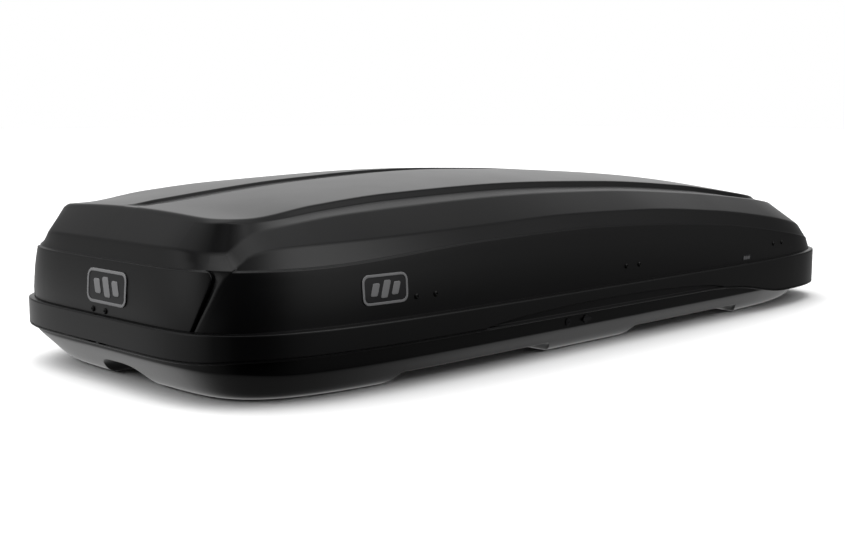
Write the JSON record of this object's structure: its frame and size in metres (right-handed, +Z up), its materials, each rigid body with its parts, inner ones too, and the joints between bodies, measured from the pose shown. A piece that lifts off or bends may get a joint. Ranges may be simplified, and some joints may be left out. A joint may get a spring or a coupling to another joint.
{
  "type": "roof cargo box",
  "caption": "Long low roof cargo box with a shaped lid hinged along both sides, bar channels under the floor, gas struts and turn locks.",
  "frame": {"origin": "on the plane the box stands on, under the middle of its outline", "axes": "+X towards the nose, +Y towards the left side, +Z up"},
  "size_m": [1.9, 0.8, 0.3431],
  "materials": {
    "lid_plastic": "matte, fine textured",
    "base_plastic": "satin",
    "trim_plate": "satin grey",
    "label_grey": "matt",
    "zinc_steel": "zinc plated",
    "black_screw": "black coated",
    "alloy": "mill finish",
    "strut_black": "gloss black",
    "strut_chrome": "hard chrome",
    "lock_plastic": "satin black",
    "lock_metal": "satin chrome",
    "red_plastic": "satin red"
  },
  "bodies": {
    "base": {"base_tray": "base_plastic", "rear_socket": "lock_plastic", "left_floor_rail": "alloy", "left_hinge_saddles": "lock_plastic", "left_saddle_bolts": "zinc_steel", "left_lock_case": "lock_plastic", "left_barrel_housing": "lock_metal", "right_floor_rail": "alloy", "right_hinge_saddles": "lock_plastic", "right_saddle_bolts": "zinc_steel", "right_lock_case": "lock_plastic", "right_barrel_housing": "lock_metal"},
    "right_hinge_unit": {"right_hinge_rod": "zinc_steel", "right_hinge_arms": "zinc_steel", "right_pivot_pins": "zinc_steel"},
    "left_hinge_unit": {"left_hinge_rod": "zinc_steel", "left_hinge_arms": "zinc_steel", "left_pivot_pins": "zinc_steel"},
    "lid": {"lid_shell": "lid_plastic", "rear_lid_hoop": "alloy", "middle_lid_hoop": "alloy", "front_lid_hoop": "alloy", "left_lid_brackets": "zinc_steel", "right_lid_brackets": "zinc_steel", "left_bracket_screws": "black_screw", "right_bracket_screws": "black_screw", "rear_strut_bracket": "zinc_steel", "front_strut_bracket": "zinc_steel", "rear_ball_studs": "zinc_steel", "front_ball_studs": "zinc_steel", "rear_lug": "lock_plastic", "rear_lug_screws": "black_screw", "rear_badge": "trim_plate", "left_badge": "trim_plate", "right_badge": "trim_plate", "side_label": "label_grey"},
    "rear_left_strut_body": {"rear_left_strut_tube": "strut_black"},
    "rear_left_strut_piston": {"rear_left_strut_rod": "strut_chrome", "rear_left_strut_socket": "lock_plastic"},
    "front_left_strut_body": {"front_left_strut_tube": "strut_black"},
    "front_left_strut_piston": {"front_left_strut_rod": "strut_chrome", "front_left_strut_socket": "lock_plastic"},
    "rear_right_strut_body": {"rear_right_strut_tube": "strut_black"},
    "rear_right_strut_piston": {"rear_right_strut_rod": "strut_chrome", "rear_right_strut_socket": "lock_plastic"},
    "front_right_strut_body": {"front_right_strut_tube": "strut_black"},
    "front_right_strut_piston": {"front_right_strut_rod": "strut_chrome", "front_right_strut_socket": "lock_plastic"},
    "left_lock_knob": {"left_lock_knob": "lock_plastic"},
    "left_lock_shaft": {"left_lock_shaft": "zinc_steel", "left_lock_claws": "red_plastic", "left_lock_lever": "zinc_steel"},
    "left_key_barrel": {"left_lock_barrel": "lock_metal"},
    "right_lock_knob": {"right_lock_knob": "lock_plastic"},
    "right_lock_shaft": {"right_lock_shaft": "zinc_steel", "right_lock_claws": "red_plastic", "right_lock_lever": "zinc_steel"},
    "right_key_barrel": {"right_lock_barrel": "lock_metal"}
  },
  "joints": [
    {"name": "right_side_opens", "type": "hinge", "parent": "base", "child": "right_hinge_unit", "pos_m": [0, 0.35, 0.07], "axis": [-1, 0, 0], "range_deg": [0, 48]},
    {"name": "left_side_opens", "type": "hinge", "parent": "right_hinge_unit", "child": "lid", "pos_m": [0, -0.35, 0.07], "axis": [-1, 0, 0], "range_deg": [-48, 0]},
    {"name": "left_unit_swings", "type": "hinge", "parent": "lid", "child": "left_hinge_unit", "pos_m": [0, 0.35, 0.07], "axis": [-1, 0, 0], "range_deg": [-48, 0]},
    {"name": "rear_left_strut_swings", "type": "hinge", "parent": "left_hinge_unit", "child": "rear_left_strut_body", "pos_m": [-0.605, 0.269, 0.045], "axis": [-1, 0, 0], "range_deg": [0, 49]},
    {"name": "rear_left_strut_extends", "type": "slide", "parent": "rear_left_strut_body", "child": "rear_left_strut_piston", "axis": [0, -0.7173, 0.6967], "range_m": [0, 0.0693]},
    {"name": "front_left_strut_swings", "type": "hinge", "parent": "left_hinge_unit", "child": "front_left_strut_body", "pos_m": [0.677, 0.269, 0.045], "axis": [-1, 0, 0], "range_deg": [0, 49.8]},
    {"name": "front_left_strut_extends", "type": "slide", "parent": "front_left_strut_body", "child": "front_left_strut_piston", "axis": [0, -0.7687, 0.6396], "range_m": [0, 0.0687]},
    {"name": "rear_right_strut_swings", "type": "hinge", "parent": "right_hinge_unit", "child": "rear_right_strut_body", "pos_m": [-0.605, -0.269, 0.045], "axis": [-1, 0, 0], "range_deg": [-49, 0]},
    {"name": "rear_right_strut_extends", "type": "slide", "parent": "rear_right_strut_body", "child": "rear_right_strut_piston", "axis": [0, 0.7173, 0.6967], "range_m": [0, 0.0693]},
    {"name": "front_right_strut_swings", "type": "hinge", "parent": "right_hinge_unit", "child": "front_right_strut_body", "pos_m": [0.677, -0.269, 0.045], "axis": [-1, 0, 0], "range_deg": [-49.8, 0]},
    {"name": "front_right_strut_extends", "type": "slide", "parent": "front_right_strut_body", "child": "front_right_strut_piston", "axis": [0, 0.7687, 0.6396], "range_m": [0, 0.0687]},
    {"name": "left_knob_turns", "type": "hinge", "parent": "base", "child": "left_lock_knob", "pos_m": [-0.115, 0.39, 0.062], "axis": [0, 1, 0], "range_deg": [0, 90]},
    {"name": "left_claws_turn", "type": "hinge", "parent": "base", "child": "left_lock_shaft", "pos_m": [0, 0.323, 0.055], "axis": [-1, 0, 0], "range_deg": [0, 60]},
    {"name": "left_key_turns", "type": "hinge", "parent": "base", "child": "left_key_barrel", "pos_m": [-0.17, 0.38, 0.062], "axis": [0, 1, 0], "range_deg": [0, 90]},
    {"name": "right_knob_turns", "type": "hinge", "parent": "base", "child": "right_lock_knob", "pos_m": [-0.115, -0.39, 0.062], "axis": [0, 1, 0], "range_deg": [-90, 0]},
    {"name": "right_claws_turn", "type": "hinge", "parent": "base", "child": "right_lock_shaft", "pos_m": [0, -0.323, 0.055], "axis": [-1, 0, 0], "range_deg": [-60, 0]},
    {"name": "right_key_turns", "type": "hinge", "parent": "base", "child": "right_key_barrel", "pos_m": [-0.17, -0.38, 0.062], "axis": [0, 1, 0], "range_deg": [-90, 0]}
  ],
  "couplings": [
    {"joint": "left_unit_swings", "follows": "right_side_opens", "ratio": -1},
    {"joint": "rear_left_strut_swings", "follows": "right_side_opens", "ratio": 1.0164},
    {"joint": "rear_left_strut_extends", "follows": "right_side_opens", "m_per_rad": 0.082085},
    {"joint": "front_left_strut_swings", "follows": "right_side_opens", "ratio": 1.0337},
    {"joint": "front_left_strut_extends", "follows": "right_side_opens", "m_per_rad": 0.081463},
    {"joint": "rear_right_strut_swings", "follows": "left_side_opens", "ratio": 1.0164},
    {"joint": "rear_right_strut_extends", "follows": "left_side_opens", "m_per_rad": -0.082085},
    {"joint": "front_right_strut_swings", "follows": "left_side_opens", "ratio": 1.0337},
    {"joint": "front_right_strut_extends", "follows": "left_side_opens", "m_per_rad": -0.081463},
    {"joint": "left_claws_turn", "follows": "left_knob_turns", "ratio": 0.66667},
    {"joint": "right_claws_turn", "follows": "right_knob_turns", "ratio": 0.66667}
  ]
}
